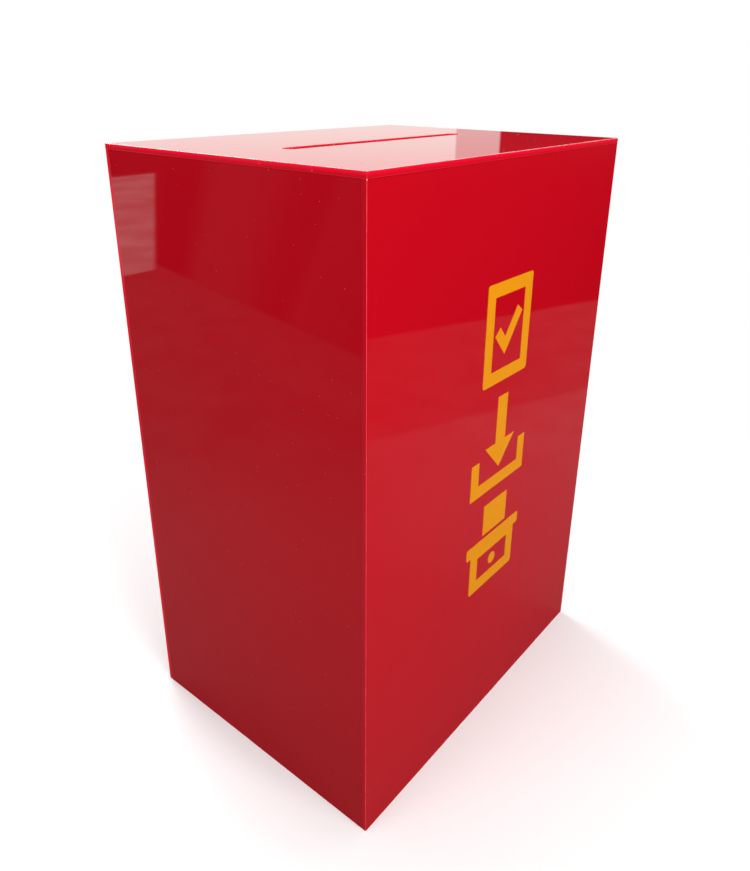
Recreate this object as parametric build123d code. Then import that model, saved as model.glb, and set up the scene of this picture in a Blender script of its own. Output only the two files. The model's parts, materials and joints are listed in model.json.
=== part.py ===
from build123d import *
import os
from math import asin, cos, pi, sin, sqrt

# Ballot box of bonded acrylic sheet. Millimetres, X across the front, Y from the front to the
# back, Z up. The origin is the centre of the underside of the bottom panel.

os.makedirs("parts", exist_ok=True)

# Case
case_width = 400.0
case_depth = 300.0
case_height = 600.0
sheet = 5.0  # thickness of every panel
arris = 0.6  # rounding of the polished outer edges

# Ballot slot in the top panel
slot_length = 255.0
slot_width = 15.0
slot_arris = 0.8

# Vinyl marks in a column on the front
mark_width = 98.0
mark_height = 96.5
mark_gap = 16.0
mark_drop = 108.5  # from the top of the case to the upper mark
mark_stroke = 13.0
mark_corner = 3.0
mark_break = 4.0  # between the lid and the paper in the lowest mark
film = 0.15

# Rear door, its opening in the back panel and the bars it closes against
opening_width = 240.0
opening_height = 200.0
opening_corner = 5.0
door_sill = 35.0  # from the base up to the opening
door_gap = 1.0  # saw gap all round the door
door_arris = 0.4
stop_width = 20.0
stop_lap = 9.0  # how far a stop bar stands into the opening
stop_thickness = 10.0
stop_arris = 1.0

# Butt hinges, measured from the pin's axis
hinge_height = 38.0
hinge_inset = 34.0  # from the door's upper or lower edge to the hinge's middle
leaf_width = 16.0
leaf_thickness = 1.2
leaf_corner = 2.0
leaf_relief = 0.5  # from a leaf's plate to the other leaf's knuckles
knuckle_radius = 2.6
knuckle_lift = 0.3  # from the knuckles to the back panel
knuckle_gap = 0.3
knuckle_count = 5
pin_radius = 1.3
pin_clearance = 0.04
pin_head_radius = 2.1
pin_head_height = 0.9
pin_head_round = 0.7

# Hinge screws and nuts
screw_radius = 1.5
screw_head_radius = 2.8
screw_head_height = 1.9
screw_head_round = 1.1
screw_tail = 1.2  # thread past the nut
screw_pitch = 23.0  # between a leaf's two screws
screw_edge = 5.5  # from the leaf's free edge
hole_clearance = 0.2
thread_clearance = 0.03
nut_flats = 5.5
nut_height = 2.4
recess_length = 3.2
recess_width = 0.8
recess_depth = 1.0

# Cam lock
lock_head_radius = 12.0
lock_head_thickness = 3.0
lock_head_round = 1.2
barrel_radius = 9.0
barrel_flat = 8.1  # from the axis to each flat
lock_nut_flats = 22.0
lock_nut_height = 3.5
lock_nut_room = 3.0  # from the nut to the latch stop bar
plug_radius = 6.0
plug_collar_radius = 7.4
plug_collar_depth = 1.5
plug_recess = 0.3  # from the housing's face back to the plug's
plug_clearance = 0.06
plug_arris = 0.4
end_play = 0.2
keyway_floor = 3.0
wafer_count = 4
wafer_start = 3.4  # from the plug's face to the first wafer
wafer_pitch = 2.4
wafer_thickness = 0.9
wafer_width = 5.0
wafer_clearance = 0.05
wafer_channel_depth = 1.2  # into the housing's bore, for the wafers to lock in
tail_side = 6.4
tail_clearance = 0.1
washer_radius = 6.6
washer_thickness = 1.0
tab_width = 4.0
tab_room = 0.4
cam_width = 15.0
cam_thickness = 2.0
cam_corner = 2.0
cam_clearance = 0.5  # from the cam to the latch stop bar
cam_reach = 8.0  # past the opening's edge when locked
cam_screw_radius = 1.9
cam_screw_head_radius = 5.2
cam_screw_head_height = 2.2
cam_screw_round = 0.8

# Key
key_thickness = 2.0
key_blade_height = 7.0
key_bow_radius = 11.5
key_bow_round = 0.5
key_neck = 5.0
key_neck_height = 10.0
key_hole_radius = 3.0
key_clearance = 0.12
key_seat = 0.3
key_tip_room = 0.5
key_cut_width = 3.4  # across the mouth of each cut
key_cut_shares = [0.14, 0.22, 0.10, 0.18]  # depths of the cuts, of the blade's height
key_floor_share = 0.25  # flat floor of a cut, of its mouth

overrun = 1.0  # how far cutting shapes run past what they cut

# Places worked out from the sizes above
wall_top = case_height - sheet
back_face = case_depth / 2
back_inner = back_face - sheet
opening_left = -opening_width / 2
opening_right = opening_width / 2
opening_top = door_sill + opening_height
door_left = opening_left + door_gap
door_right = opening_right - door_gap
door_bottom = door_sill + door_gap
door_top = opening_top - door_gap
stop_seat = stop_width - stop_lap  # width of a stop bar glued to the back panel
stop_inner = back_inner - stop_thickness

leaf_seat = knuckle_radius + knuckle_lift  # from the pin's axis to the back panel
hinge_x = opening_left + door_gap / 2
hinge_y = back_face + leaf_seat
hinge_levels = {"lower": door_bottom + hinge_inset, "upper": door_top - hinge_inset}
screw_x = leaf_width - screw_edge
screw_length = leaf_thickness + sheet + nut_height + screw_tail

barrel_length = sheet + stop_thickness + cam_clearance - washer_thickness - end_play
plug_rear = barrel_length + end_play
tail_length = washer_thickness + cam_thickness
plug_face = lock_head_thickness - plug_recess
keyway_depth = plug_face + plug_rear - keyway_floor
lock_nut_corner = lock_nut_flats / 2 / cos(pi / 6)
lock_inset = stop_lap - door_gap + lock_nut_room + lock_nut_corner
lock_x = door_right - lock_inset
lock_z = (door_bottom + door_top) / 2
cam_length = lock_inset + door_gap + cam_reach
cam_screw_length = tail_length + keyway_floor - key_tip_room
lug_inner = washer_radius + tab_room


def block(low, high):
    """A box between two opposite corners."""
    centre = [(a + b) / 2 for a, b in zip(low, high)]
    size = [b - a for a, b in zip(low, high)]
    return Pos(*centre) * Box(*size)


def bar(left, right, bottom, top, near, far, corner):
    """An upright plate from depth near to depth far, with rounded corners."""
    middle = ((left + right) / 2, near, (bottom + top) / 2)
    upright = Plane(origin=middle, x_dir=(1, 0, 0), z_dir=(0, 1, 0))
    return extrude(upright * RectangleRounded(right - left, top - bottom, corner), far - near)


def cylinder(radius, low, high):
    """A round bar on the Z axis between two heights."""
    return Pos(0, 0, (low + high) / 2) * Cylinder(radius, high - low)


def hexagon(flats, low, high):
    """A hexagonal bar on the Z axis between two heights."""
    side = RegularPolygon(flats / 2, 6, major_radius=False)
    return Pos(0, 0, low) * extrude(side, high - low)


def rim(solid, axis):
    """The edges round a solid's outermost face along an axis."""
    return solid.faces().sort_by(axis)[-1].outer_wire().edges()


def out_of_back(x, z):
    """Turns a piece built up +Z so that it points out of the back at a place on it."""
    return Pos(x, back_face, z) * Rot(-90, 0, 0)


# Panels


def front_or_back_panel(side):
    """A full-width wall, at the front (side -1) or at the back (side 1)."""
    outer = side * case_depth / 2
    inner = outer - side * sheet
    panel = block(
        (-case_width / 2, min(outer, inner), 0),
        (case_width / 2, max(outer, inner), wall_top),
    )
    uprights = panel.edges().filter_by(Axis.Z).group_by(Axis.Y)
    return fillet(uprights[0] if side < 0 else uprights[-1], arris)


def back_panel():
    """The back wall with the door's opening and the fixed leaves' screw holes."""
    panel = front_or_back_panel(1)
    panel -= bar(
        opening_left,
        opening_right,
        door_sill,
        opening_top,
        back_inner - overrun,
        back_face + overrun,
        opening_corner,
    )
    mouth = panel.faces().sort_by(Axis.Y)[-1].inner_wires()[0].edges()
    panel = fillet(mouth, door_arris)
    return panel - hinge_holes(-1)


def side_panel(side):
    """A side wall between the front and the back, left (-1) or right (1)."""
    outer = side * case_width / 2
    inner = outer - side * sheet
    return block(
        (min(outer, inner), -back_inner, 0),
        (max(outer, inner), back_inner, wall_top),
    )


def top_panel():
    """The lid, bonded over all four walls, with the ballot slot."""
    panel = block(
        (-case_width / 2, -case_depth / 2, wall_top),
        (case_width / 2, case_depth / 2, case_height),
    )
    panel = fillet(panel.edges(), arris)
    cut = extrude(SlotOverall(slot_length, slot_width), sheet + 2 * overrun)
    panel -= Pos(0, 0, wall_top - overrun) * cut
    mouth = panel.faces().sort_by(Axis.Z)[-1].inner_wires()[0].edges()
    return fillet(mouth, slot_arris)


def bottom_panel():
    """The floor of the box, set inside the walls."""
    inside = case_width / 2 - sheet
    return block((-inside, -back_inner, 0), (inside, back_inner, sheet))


# Rear door and stop bars


def rear_door():
    """The door, flush in its opening, with its screw holes and the hole for the lock."""
    door = bar(
        door_left,
        door_right,
        door_bottom,
        door_top,
        back_inner,
        back_face,
        opening_corner - door_gap,
    )
    door = fillet(rim(door, Axis.Y), door_arris)
    hole = double_flat(
        barrel_radius + hole_clearance,
        barrel_flat + hole_clearance,
        -sheet - overrun,
        overrun,
    )
    return door - hinge_holes(1) - out_of_back(lock_x, lock_z) * hole


def door_stop_bar(left, right, bottom, top):
    """A bar glued behind the back panel that the door closes against."""
    stop = block((left, stop_inner, bottom), (right, back_inner, top))
    inner_edges = stop.edges().filter_by(Axis.Y, reverse=True).group_by(Axis.Y)[0]
    return fillet(inner_edges, stop_arris)


def door_stops():
    """The upper, lower and latch-side bars."""
    left = opening_left - stop_seat
    right = opening_right + stop_seat
    upper = opening_top - stop_lap
    lower = door_sill + stop_lap
    latch = opening_right - stop_lap
    return {
        "door_stop_upper": door_stop_bar(left, right, upper, upper + stop_width),
        "door_stop_lower": door_stop_bar(left, right, lower - stop_width, lower),
        "door_stop_latch": door_stop_bar(latch, right, lower, upper),
    }


# Hinges, built on the Z axis with the leaf towards +X and the back panel below


def knuckle_span(index):
    """The lowest and highest level of one knuckle about the hinge's middle."""
    length = (hinge_height - (knuckle_count - 1) * knuckle_gap) / knuckle_count
    low = -hinge_height / 2 + index * (length + knuckle_gap)
    return low, low + length


def hinge_leaf(first):
    """A leaf whose knuckles start from the first or the second place."""
    root = knuckle_radius + leaf_relief
    plate_top = leaf_thickness - leaf_seat
    leaf = block((root, -leaf_seat, -hinge_height / 2), (leaf_width, plate_top, hinge_height / 2))
    leaf = fillet(leaf.edges().filter_by(Axis.Y).group_by(Axis.X)[-1], leaf_corner)
    for index in range(first, knuckle_count, 2):
        low, high = knuckle_span(index)
        leaf += cylinder(knuckle_radius, low, high)
        leaf += block((0, -leaf_seat, low), (root, plate_top, high))
    leaf -= Cylinder(pin_radius + pin_clearance, hinge_height + overrun)
    for level in (-screw_pitch / 2, screw_pitch / 2):
        hole = Rot(90, 0, 0) * Cylinder(screw_radius + hole_clearance, leaf_seat * 2 + overrun)
        leaf -= Pos(screw_x, 0, level) * hole
    return leaf


def hinge_pin():
    """The pin with a domed head at each end."""
    half = hinge_height / 2
    pin = cylinder(pin_radius, -half, half)
    head = cylinder(pin_head_radius, half, half + pin_head_height)
    head = fillet(rim(head, Axis.Z), pin_head_round)
    return pin + head + mirror(head, Plane.XY)


def hinges():
    """Both leaves and the pin of each hinge."""
    pieces = {}
    fixed = mirror(hinge_leaf(0), Plane.YZ)
    for name, level in hinge_levels.items():
        place = Pos(hinge_x, hinge_y, level)
        pieces[name + "_hinge_fixed_leaf"] = place * fixed
        pieces[name + "_hinge_door_leaf"] = place * hinge_leaf(1)
        pieces[name + "_hinge_pin"] = place * hinge_pin()
    return pieces


def hinge_screw_places(side):
    """Where the screws of the fixed leaves (side -1) or of the door leaves (side 1) stand."""
    return [
        out_of_back(hinge_x + side * screw_x, level + end * screw_pitch / 2)
        for level in hinge_levels.values()
        for end in (-1, 1)
    ]


def hinge_holes(side):
    """The screw holes through the sheet under the fixed leaves or the door leaves."""
    hole = cylinder(screw_radius + hole_clearance, -sheet - overrun, overrun)
    return Part() + [place * hole for place in hinge_screw_places(side)]


def cross_recess(top):
    """The driver's cross in a screw head whose top is at this height."""
    cross = Box(recess_length, recess_width, recess_depth * 2)
    cross += Box(recess_width, recess_length, recess_depth * 2)
    return Pos(0, 0, top) * cross


def hinge_screw():
    """A pan-head screw, with zero height at the outside of the sheet."""
    top = leaf_thickness + screw_head_height
    head = cylinder(screw_head_radius, leaf_thickness, top)
    head = fillet(rim(head, Axis.Z), screw_head_round)
    shank = cylinder(screw_radius, leaf_thickness - screw_length, leaf_thickness)
    return head + shank - cross_recess(top)


def hinge_nut():
    """A hexagon nut, against the inside of the sheet."""
    nut = hexagon(nut_flats, -sheet - nut_height, -sheet)
    return nut - cylinder(screw_radius + thread_clearance, -screw_length, 0)


def hinge_fasteners():
    """Screws and nuts, one group for the fixed leaves and one for the door leaves."""
    groups = {}
    for name, side in (("fixed", -1), ("door", 1)):
        places = hinge_screw_places(side)
        groups[name + "_leaf_screws"] = Compound([place * hinge_screw() for place in places])
        groups[name + "_leaf_nuts"] = Compound([place * hinge_nut() for place in places])
    return groups


# Cam lock, built up the Z axis from the outside of the door, with +Y towards the floor


def double_flat(radius, flat, low, high):
    """A round bar with two flats, between two heights."""
    return cylinder(radius, low, high) & block((-flat, -radius, low), (flat, radius, high))


def lock_lug():
    """The raised part of the barrel's end that stops the washer's tab after a quarter turn."""
    end = -barrel_length - washer_thickness
    lug = double_flat(barrel_radius, barrel_flat, end, -barrel_length)
    lug -= cylinder(lug_inner, end, -barrel_length)
    spare = asin((tab_width / 2 + tab_room) / lug_inner)
    reach = barrel_radius * 2
    corners = [(0, 0)]
    for angle in (pi - spare, pi * 5 / 4, pi * 3 / 2 + spare):
        corners.append((reach * cos(angle), reach * sin(angle)))
    sector = make_face(Polyline(*corners, close=True))
    return lug - Pos(0, 0, end - overrun) * extrude(sector, washer_thickness + 2 * overrun)


def lock_housing():
    """Head and barrel, bored for the plug, with a channel on each side for the wafers."""
    head = cylinder(lock_head_radius, 0, lock_head_thickness)
    head = fillet(rim(head, Axis.Z), lock_head_round)
    barrel = double_flat(barrel_radius, barrel_flat, -barrel_length, 0)
    front = lock_head_thickness + overrun
    shoulder = plug_face - plug_collar_depth - plug_clearance
    housing = head + barrel + lock_lug()
    housing -= cylinder(plug_radius + plug_clearance, -barrel_length - overrun, front)
    housing -= cylinder(plug_collar_radius + plug_clearance, shoulder, front)
    half = wafer_width / 2 + plug_clearance
    reach = plug_radius + wafer_channel_depth
    lowest = wafer_centres()[-1] - wafer_pitch
    return housing - block((-half, -reach, lowest), (half, reach, shoulder))


def lock_nut():
    """The thin hexagon nut that draws the housing against the door."""
    nut = hexagon(lock_nut_flats, -sheet - lock_nut_height, -sheet)
    return nut - cylinder(barrel_radius + thread_clearance, -barrel_length, 0)


def wafer_centres():
    """The heights of the wafers' middles, from the outermost in."""
    first = plug_face - wafer_start - wafer_thickness / 2
    return [first - index * wafer_pitch for index in range(wafer_count)]


def keyway(low, high):
    """The straight slot that the key's blade runs in."""
    half_width = key_thickness / 2 + key_clearance
    half_height = key_blade_height / 2 + key_clearance
    return block((-half_width, -half_height, low), (half_width, half_height, high))


def lock_wafers():
    """Flat wafers across the plug, drawn in by the key, with a window for its blade."""
    half = wafer_width / 2
    reach = sqrt(plug_radius**2 - half**2) - wafer_clearance
    wafers = []
    for centre in wafer_centres():
        low, high = centre - wafer_thickness / 2, centre + wafer_thickness / 2
        plate = block((-half, -reach, low), (half, reach, high))
        wafers.append(plate - keyway(low - overrun, high + overrun))
    return Compound(wafers)


def wafer_slots():
    """The cross slots through the plug that the wafers slide in."""
    half = wafer_width / 2 + wafer_clearance
    half_thickness = wafer_thickness / 2 + wafer_clearance
    slots = Part()
    for centre in wafer_centres():
        slots += block(
            (-half, -plug_radius - overrun, centre - half_thickness),
            (half, plug_radius + overrun, centre + half_thickness),
        )
    return slots


def lock_plug():
    """The turning plug, with its keyway, and the square tail that carries the cam."""
    collar = cylinder(plug_collar_radius, plug_face - plug_collar_depth, plug_face)
    collar = fillet(rim(collar, Axis.Z), plug_arris)
    plug = collar + cylinder(plug_radius, -plug_rear, plug_face - plug_collar_depth)
    half = tail_side / 2
    plug += block((-half, -half, -plug_rear - tail_length), (half, half, -plug_rear))
    plug -= keyway(plug_face - keyway_depth, plug_face + overrun)
    rear = -plug_rear - tail_length
    bore_radius = cam_screw_radius + thread_clearance
    return plug - wafer_slots() - cylinder(bore_radius, rear - overrun, rear + cam_screw_length)


def tail_hole(low, high):
    """The square hole that fits the plug's tail."""
    half = tail_side / 2 + tail_clearance
    return block((-half, -half, low), (half, half, high))


def stop_washer():
    """A washer on the tail whose tab meets the housing's lug at both ends of the turn."""
    low = -plug_rear - washer_thickness
    washer = cylinder(washer_radius, low, -plug_rear)
    washer += block((-tab_width / 2, -barrel_radius, low), (tab_width / 2, 0, -plug_rear))
    return washer - tail_hole(low - overrun, overrun - plug_rear)


def lock_cam():
    """The flat cam, hanging towards the floor while the door is unlocked."""
    low = -plug_rear - tail_length
    high = low + cam_thickness
    arm = block((-cam_width / 2, 0, low), (cam_width / 2, cam_length, high))
    arm = fillet(arm.edges().filter_by(Axis.Z).group_by(Axis.Y)[-1], cam_corner)
    return arm + cylinder(cam_width / 2, low, high) - tail_hole(low - overrun, high + overrun)


def cam_screw():
    """The screw whose broad head holds the cam on the tail."""
    seat = -plug_rear - tail_length
    top = seat - cam_screw_head_height
    head = cylinder(cam_screw_head_radius, top, seat)
    head = fillet(rim(head, -Axis.Z), cam_screw_round)
    return head + cylinder(cam_screw_radius, seat, seat + cam_screw_length) - cross_recess(top)


def key():
    """A flat key in the lock: bow, neck and a blade with cuts on both edges."""
    half = key_thickness / 2
    seat = plug_face + key_seat
    tip = plug_face - keyway_depth + key_tip_room
    bow_z = seat + key_neck + key_bow_radius
    across = Rot(0, 90, 0)
    bow = Pos(0, 0, bow_z) * across * Cylinder(key_bow_radius, key_thickness)
    bow = fillet(bow.edges().filter_by(GeomType.CIRCLE), key_bow_round)
    half_neck = key_neck_height / 2
    shape = bow + block((-half, -half_neck, seat), (half, half_neck, bow_z))
    hole_z = bow_z + key_bow_radius / 2
    shape -= Pos(0, 0, hole_z) * across * Cylinder(key_hole_radius, key_thickness + overrun)
    half_blade = key_blade_height / 2
    shape += block((-half, -half_blade, tip), (half, half_blade, seat))
    return shape - key_cuts(tip, seat)


def key_cuts(tip, seat):
    """Notches down both edges of the blade, each edge in its own order of depths."""
    step = (seat - tip) / (len(key_cut_shares) + 1)
    mouth = key_cut_width / 2
    floor = mouth * key_floor_share
    cuts = Part()
    for side, shares in ((1, key_cut_shares), (-1, key_cut_shares[::-1])):
        edge = side * key_blade_height / 2
        for index, share in enumerate(shares):
            deep = edge - side * key_blade_height * share
            z = tip + step * (index + 1)
            points = [(edge, z - mouth), (deep, z - floor), (deep, z + floor), (edge, z + mouth)]
            notch = Plane.YZ * make_face(Polyline(*points, close=True))
            cuts += extrude(notch, key_thickness, both=True)
    return cuts


def cam_lock():
    """Every piece of the lock, in its place in the door."""
    pieces = {
        "lock_housing": lock_housing(),
        "lock_nut": lock_nut(),
        "lock_plug": lock_plug(),
        "lock_wafers": lock_wafers(),
        "stop_washer": stop_washer(),
        "lock_cam": lock_cam(),
        "cam_screw": cam_screw(),
        "key": key(),
    }
    return {name: out_of_back(lock_x, lock_z) * piece for name, piece in pieces.items()}


# Vinyl marks, drawn about their centres with +Y up


def frame_outline(width, height):
    """A rectangular outline of one stroke, with rounded corners."""
    hole = Rectangle(width - 2 * mark_stroke, height - 2 * mark_stroke)
    return RectangleRounded(width, height, mark_corner) - hole


def ballot_mark():
    """A ballot paper with a tick."""
    paper_share = 0.8
    tick_shares = [(-0.19, 0.02), (-0.05, -0.14), (0.19, 0.18)]
    tick_stroke_share = 0.85
    tick = Polyline(*[(mark_width * x, mark_height * y) for x, y in tick_shares])
    paper = frame_outline(mark_width * paper_share, mark_height)
    return paper + trace(tick, mark_stroke * tick_stroke_share)


def arrow_mark():
    """An arrow pointing down into an open tray."""
    arrow_shares = [(0, -0.29), (0.27, 0.0), (0.09, 0.0), (0.09, 0.5)]
    tray_share = 0.4
    right = [(mark_width * x, mark_height * y) for x, y in arrow_shares]
    left = [(-x, y) for x, y in reversed(right[1:])]
    arrow = make_face(Polyline(*right, *left, close=True))
    tray_height = mark_height * tray_share
    tray = Rectangle(mark_width, tray_height)
    tray -= Pos(0, mark_stroke) * Rectangle(mark_width - 2 * mark_stroke, tray_height)
    return arrow + Pos(0, (tray_height - mark_height) / 2) * tray


def box_mark():
    """A closed box with a paper coming down to its lid."""
    body_width_share = 0.84
    body_height_share = 0.54
    paper_share = 0.44
    body_height = mark_height * body_height_share
    body_y = (body_height - mark_height) / 2
    lid_y = body_height - mark_height / 2
    paper_low = lid_y + mark_stroke / 2 + mark_break
    paper_y = (mark_height / 2 + paper_low) / 2
    body = frame_outline(mark_width * body_width_share, body_height)
    lid = RectangleRounded(mark_width, mark_stroke, mark_corner)
    paper = Rectangle(mark_width * paper_share, mark_height / 2 - paper_low)
    lock = Circle(mark_stroke / 2)
    return Pos(0, body_y) * (body + lock) + Pos(0, lid_y) * lid + Pos(0, paper_y) * paper


def front_marks():
    """The three films on the front, from the top down."""
    drawings = {
        "front_mark_ballot": ballot_mark(),
        "front_mark_arrow": arrow_mark(),
        "front_mark_box": box_mark(),
    }
    marks = {}
    level = case_height - mark_drop - mark_height / 2
    for name, drawing in drawings.items():
        front = Plane(origin=(0, -case_depth / 2, level), x_dir=(1, 0, 0), z_dir=(0, -1, 0))
        marks[name] = extrude(front * drawing, film)
        level -= mark_height + mark_gap
    return marks


def assembly():
    """Every node of the box by name."""
    pieces = {
        "front_panel": front_or_back_panel(-1),
        "back_panel": back_panel(),
        "left_side_panel": side_panel(-1),
        "right_side_panel": side_panel(1),
        "top_panel": top_panel(),
        "bottom_panel": bottom_panel(),
        "rear_door": rear_door(),
    }
    pieces.update(door_stops())
    pieces.update(hinges())
    pieces.update(hinge_fasteners())
    pieces.update(cam_lock())
    pieces.update(front_marks())
    return pieces


for node, shape in assembly().items():
    export_step(shape, "parts/" + node + ".step")
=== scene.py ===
import json
from functools import partial, reduce
from itertools import product
from math import cos, pi, radians, sin, tau

import bmesh
import bpy
from bpy.props import FloatProperty, FloatVectorProperty, IntProperty, PointerProperty
from bpy.types import Operator, Panel, PropertyGroup
from mathutils import Matrix, Vector, noise


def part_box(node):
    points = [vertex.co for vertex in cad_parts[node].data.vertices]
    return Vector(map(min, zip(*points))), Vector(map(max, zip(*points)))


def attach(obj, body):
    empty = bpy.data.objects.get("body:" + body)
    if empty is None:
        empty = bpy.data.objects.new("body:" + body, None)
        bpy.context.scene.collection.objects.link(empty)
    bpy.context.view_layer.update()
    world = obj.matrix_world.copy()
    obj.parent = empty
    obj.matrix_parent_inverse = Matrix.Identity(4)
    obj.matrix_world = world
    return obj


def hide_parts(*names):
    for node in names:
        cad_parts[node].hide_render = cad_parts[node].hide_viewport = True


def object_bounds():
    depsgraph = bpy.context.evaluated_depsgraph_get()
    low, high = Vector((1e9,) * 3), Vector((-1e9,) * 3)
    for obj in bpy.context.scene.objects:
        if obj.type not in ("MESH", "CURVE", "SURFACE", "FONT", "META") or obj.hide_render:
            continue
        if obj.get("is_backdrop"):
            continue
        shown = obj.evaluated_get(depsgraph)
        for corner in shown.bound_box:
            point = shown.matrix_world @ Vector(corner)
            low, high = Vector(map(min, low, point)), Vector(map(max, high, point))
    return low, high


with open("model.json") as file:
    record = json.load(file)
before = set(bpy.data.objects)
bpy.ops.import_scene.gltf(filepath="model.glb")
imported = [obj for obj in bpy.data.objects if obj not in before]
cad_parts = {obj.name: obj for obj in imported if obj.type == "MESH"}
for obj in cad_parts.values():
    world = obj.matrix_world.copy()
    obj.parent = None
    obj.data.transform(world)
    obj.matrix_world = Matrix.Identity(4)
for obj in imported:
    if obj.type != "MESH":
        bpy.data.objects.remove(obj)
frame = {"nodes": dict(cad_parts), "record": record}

bl_info = {
    "name": "Ballot Box",
    "version": (1, 0, 0),
    "blender": (4, 5, 0),
    "location": "3D View > Sidebar > Ballot Box",
    "description": "Finishes the ballot box's solids, hinges, fasteners and lock in detail",
    "category": "Object",
}

HINGES = ("lower", "upper")
HAIR = 1e-5  # a hundredth of a millimetre, for telling faces and edges apart
SLIVER = 4e-6  # points nearer than this become one where a cut has left a gap
SHARP = radians(32)  # edges sharper than this are shaded as edges
ACRYLIC_IOR = 1.49
VINYL_IOR = 1.48


# Settings


def setting(kind, **how):
    """A function that declares a setting of a kind, which isn't negative."""
    return lambda label, text, value: kind(
        name=label, description=text, default=value, min=0, **how
    )


length = setting(FloatProperty, precision=5, unit="LENGTH")
share = setting(FloatProperty, max=1, subtype="FACTOR")
colour = setting(FloatVectorProperty, max=1, size=3, subtype="COLOR")


class SheetSettings(PropertyGroup):
    """The acrylic sheet that the case and the door are made of."""

    face: colour("Face", "Colour of the polished faces", (0.62, 0.0035, 0.013))
    # Painted light: the edge colour is a brighter red than the faces, for light gathered in the
    # sheet's edges, and is also the colour that the edges give off.
    edge: colour("Edge", "Colour of the sawn and flamed edges", (0.78, 0.003, 0.024))
    # Painted highlight: a paler red painted along the walls' scraped arrises as a highlight line,
    # and the colour that the arrises give off.
    arris: colour("Arris", "Colour of the scraped outer edges", (0.8, 0.05, 0.065))
    # Painted highlight: the pale cream of the highlight lines painted along the lid's arrises and
    # the slot's lip, and of the dots where the walls' arrises meet.
    lid_arris: colour("Lid arris", "Colour of the lid's polished arris", (1.0, 0.85, 0.76))
    dust: colour("Dust", "Colour of the dust on the sheet", (0.72, 0.5, 0.45))
    slot: FloatVectorProperty(
        name="Slot", description="Length and width of the lid's slot", size=3,
        default=(0.255, 0.015, 0), subtype="XYZ", unit="LENGTH",
    )
    # Painted light: the shares below are light that the edges and arrises give off, though they are
    # no lamps.
    long_glow: share("Long glow", "Light that the lid's long edges give off", 0.19)
    short_glow: share("Short glow", "Light that the lid's short edges give off", 0.42)
    wall_glow: share("Wall glow", "Light that the other edges give off", 0.02)
    back_glow: share("Back glow", "Light that the back panel's side edges give off", 0.3)
    arris_glow: share("Arris glow", "Light that the scraped arrises give off", 0.8)
    # Painted light: how strongly the brighter edge colour is painted on the walls' edges.
    wall_edge: share("Wall edge", "How far the other edges differ from the faces", 0.35)
    gloss: share("Gloss", "Roughness of a clean face", 0.02)
    wave: length("Wave", "Height of the slow waves in the cast faces", 0.00003)
    lid_dust: share("Lid dust", "Share of the places with dust on the lid", 0.5)
    wall_dust: share("Wall dust", "Share of the places with dust on the walls", 0.1)
    bead: length("Bead", "Leg of the cement bead in the inner corners", 0.0012)


class FilmSettings(PropertyGroup):
    """The cut vinyl film of the marks."""

    face: colour("Film", "Colour of the film", (0.9, 0.33, 0.003))
    gloss: share("Gloss", "Roughness of the film", 0.3)


class MetalSettings(PropertyGroup):
    """The metals of the hinges, the fasteners and the lock."""

    steel: colour("Steel", "Brushed stainless steel of the hinges", (0.72, 0.71, 0.69))
    zinc: colour("Zinc", "Bright zinc on screws, nuts, cam and washer", (0.68, 0.7, 0.72))
    chrome: colour("Chrome", "Chrome on the lock's housing and nut", (0.78, 0.78, 0.8))
    nickel: colour("Nickel", "Nickel on the plug and the key", (0.76, 0.73, 0.67))


class HingeSettings(PropertyGroup):
    """The butt hinges."""

    thickness: length("Leaf thickness", "Thickness of the leaf", 0.0012)
    corner: length("Leaf corner", "Radius of the leaf's free corners", 0.002)
    relief: length("Relief", "From a leaf's plate to the other leaf's knuckles", 0.0005)
    gap: length("Knuckle gap", "Between neighbouring knuckles", 0.0003)
    knuckles: IntProperty(
        name="Knuckles", description="Knuckles of both leaves together", default=5, min=3
    )
    pin: length("Pin", "Radius of the pin", 0.0013)
    head: length("Pin head", "Radius of the pin's domed heads", 0.0021)
    head_height: length("Pin head height", "Height of the pin's heads", 0.0009)
    hole: length("Hole", "Radius of the screw holes", 0.0017)
    pitch: length("Screw pitch", "Between a leaf's two screws", 0.023)
    softening: length("Softening", "Rounding of the leaf's edges", 0.00015)


class ScrewSettings(PropertyGroup):
    """The hinge screws, their nuts and the cam screw."""

    radius: length("Thread", "Radius of the hinge screws' thread", 0.0015)
    head: length("Head", "Radius of the pan head", 0.0028)
    head_height: length("Head height", "Height of the pan head", 0.0019)
    head_round: length("Head rounding", "Rounding of the pan head", 0.0011)
    pitch: length("Thread pitch", "Pitch of the hinge screws' thread", 0.0005)
    flats: length("Nut flats", "Across the flats of the hinge nuts", 0.0055)
    nut: length("Nut height", "Height of the hinge nuts", 0.0024)
    cam_radius: length("Cam screw", "Radius of the cam screw's thread", 0.0019)
    cam_head: length("Cam screw head", "Radius of the cam screw's head", 0.0052)
    cam_head_height: length("Cam head height", "Height of the cam screw's head", 0.0022)


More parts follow.
